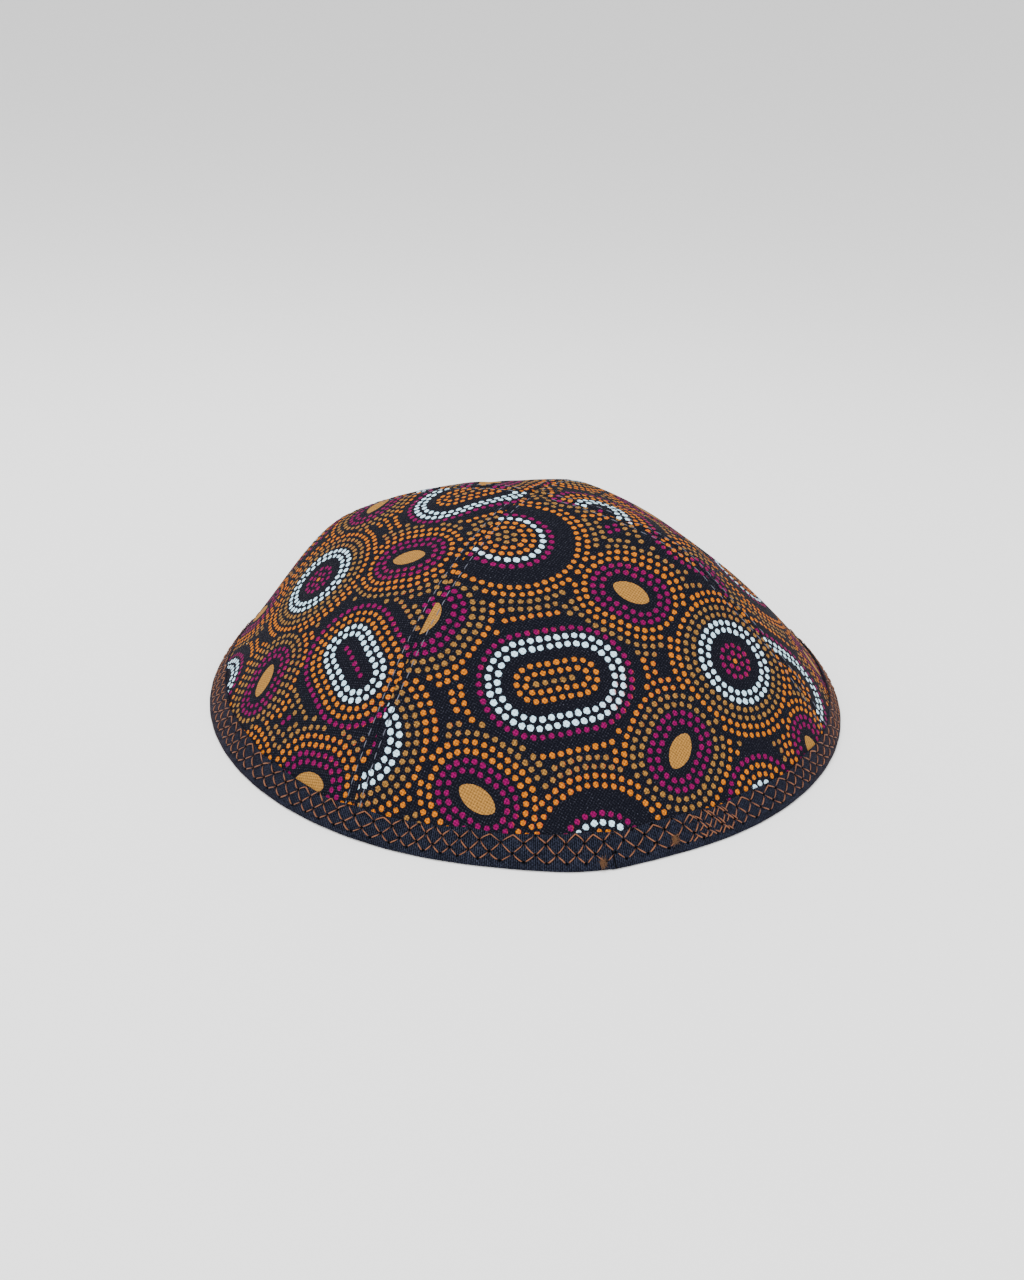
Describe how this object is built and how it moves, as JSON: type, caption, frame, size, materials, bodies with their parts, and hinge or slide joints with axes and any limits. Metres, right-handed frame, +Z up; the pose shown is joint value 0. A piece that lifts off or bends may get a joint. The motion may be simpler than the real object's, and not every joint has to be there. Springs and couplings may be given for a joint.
{
  "type": "kippah skullcap",
  "caption": "Shallow round skullcap sewn from printed cotton panels that meet at the top, with a woven tape folded over its rim.",
  "frame": {"origin": "centre of the round rim, on the plane that the rim rests on", "axes": "+Z up through the top of the crown; -Y out through the middle of the front panel, so the seams lie at 45 degrees to X and Y"},
  "size_m": [0.1732, 0.1732, 0.052],
  "materials": {
    "printed_cotton": "matt plain-woven cotton with a printed dot pattern",
    "binding_tape": "matt plain-woven tape with copper-brown stitching"
  },
  "bodies": {
    "root": {"crown_panel_front": "printed_cotton", "crown_panel_right": "printed_cotton", "crown_panel_back": "printed_cotton", "crown_panel_left": "printed_cotton", "rim_binding": "binding_tape"}
  },
  "joints": []
}
